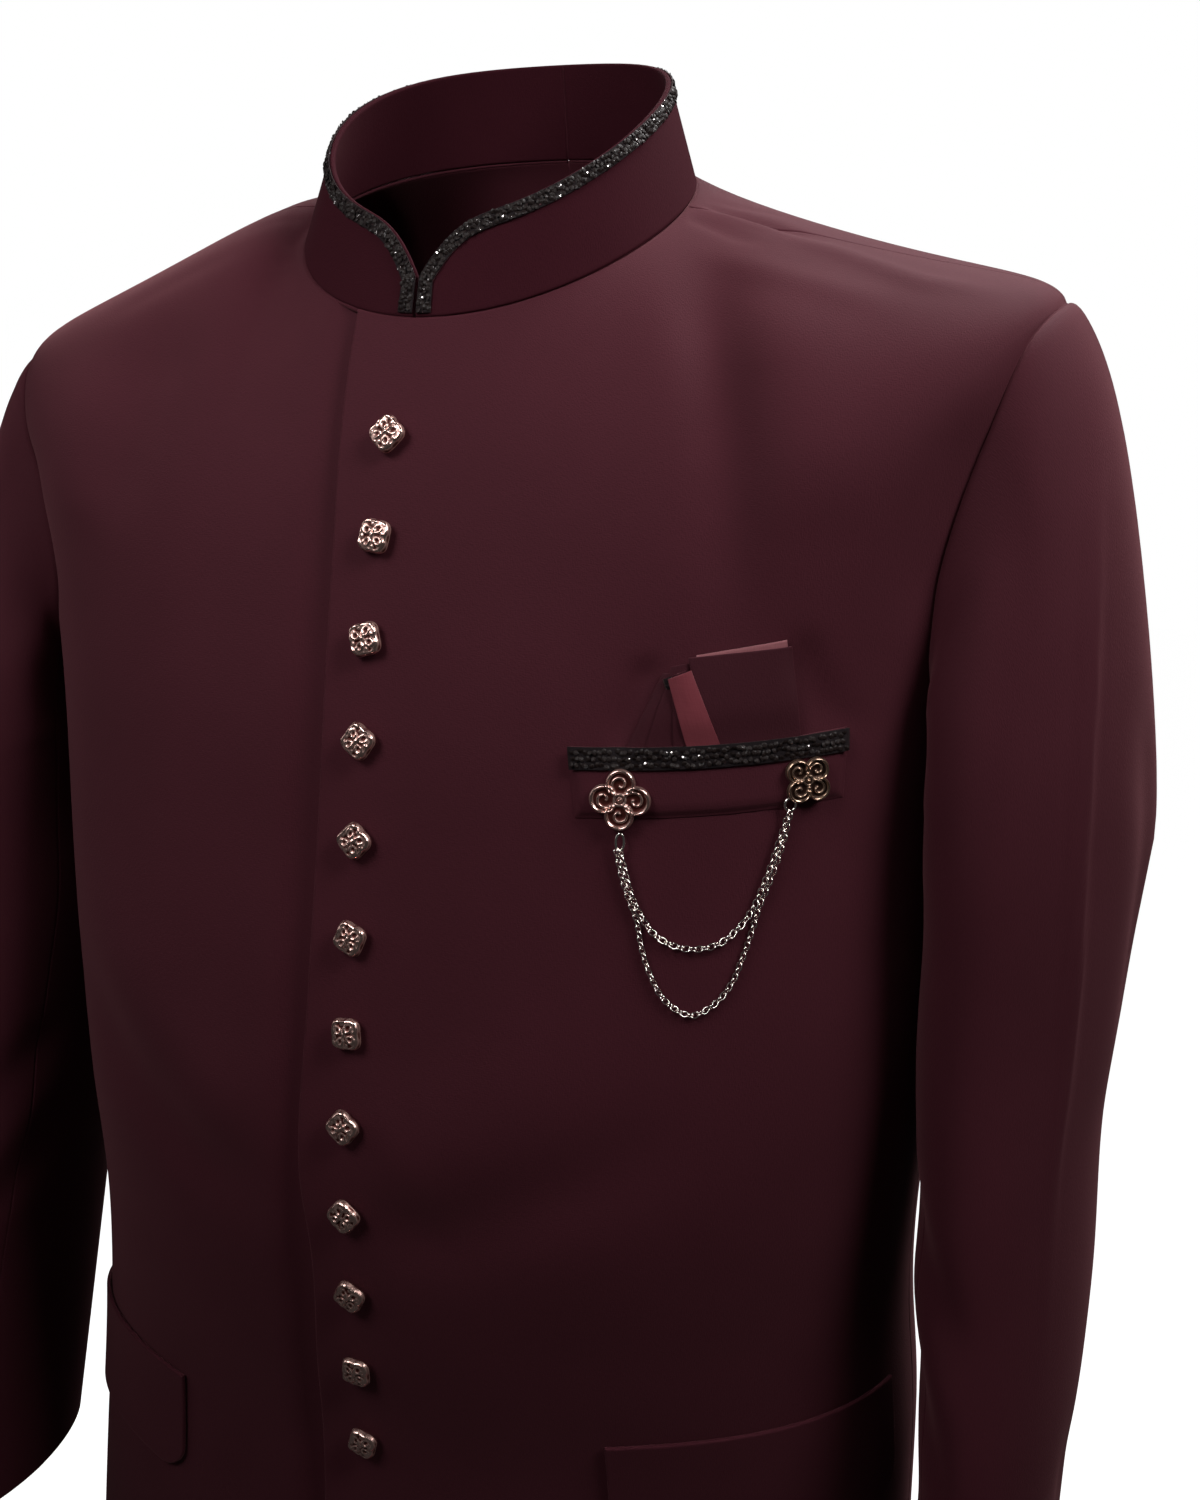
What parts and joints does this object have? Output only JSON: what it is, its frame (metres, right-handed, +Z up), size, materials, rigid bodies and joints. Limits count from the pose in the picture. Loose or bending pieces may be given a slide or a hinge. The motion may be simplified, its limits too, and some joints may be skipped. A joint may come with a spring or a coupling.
{
  "type": "bandhgala jacket",
  "caption": "Hollow worn-shape bandhgala jacket with a stand collar, lapped front with domed metal buttons, chest welt with folded square and draped chains, hip flaps and two-piece sleeves.",
  "frame": {"origin": "centre of the neck opening at its base, midway between the two points where the shoulder seams meet the collar", "axes": "+Z up, +X towards the wearer's left, -Y towards the front"},
  "size_m": [0.5646, 0.2642, 0.7989],
  "materials": {
    "wine_cloth": "matte suiting",
    "black_beads": "beads and sequins",
    "wine_satin": "satin",
    "button_metal": "antique cast metal",
    "chain_metal": "darkened metal"
  },
  "bodies": {
    "root": {"front_left": "wine_cloth", "front_right": "wine_cloth", "back_left": "wine_cloth", "back_right": "wine_cloth", "sleeve_left_top": "wine_cloth", "sleeve_left_under": "wine_cloth", "sleeve_right_top": "wine_cloth", "sleeve_right_under": "wine_cloth", "collar_left": "wine_cloth", "collar_right": "wine_cloth", "pocket_welt": "wine_cloth", "flap_left": "wine_cloth", "flap_right": "wine_cloth", "collar_trim_left": "black_beads", "collar_trim_right": "black_beads", "pocket_trim": "black_beads", "pocket_square": "wine_satin", "button_01": "button_metal", "button_02": "button_metal", "button_03": "button_metal", "button_04": "button_metal", "button_05": "button_metal", "button_06": "button_metal", "button_07": "button_metal", "button_08": "button_metal", "button_09": "button_metal", "button_10": "button_metal", "button_11": "button_metal", "button_12": "button_metal", "brooch_left": "chain_metal", "brooch_right": "chain_metal", "ring_left": "chain_metal", "ring_right": "chain_metal", "chain_upper": "chain_metal", "chain_lower": "chain_metal"}
  },
  "joints": []
}
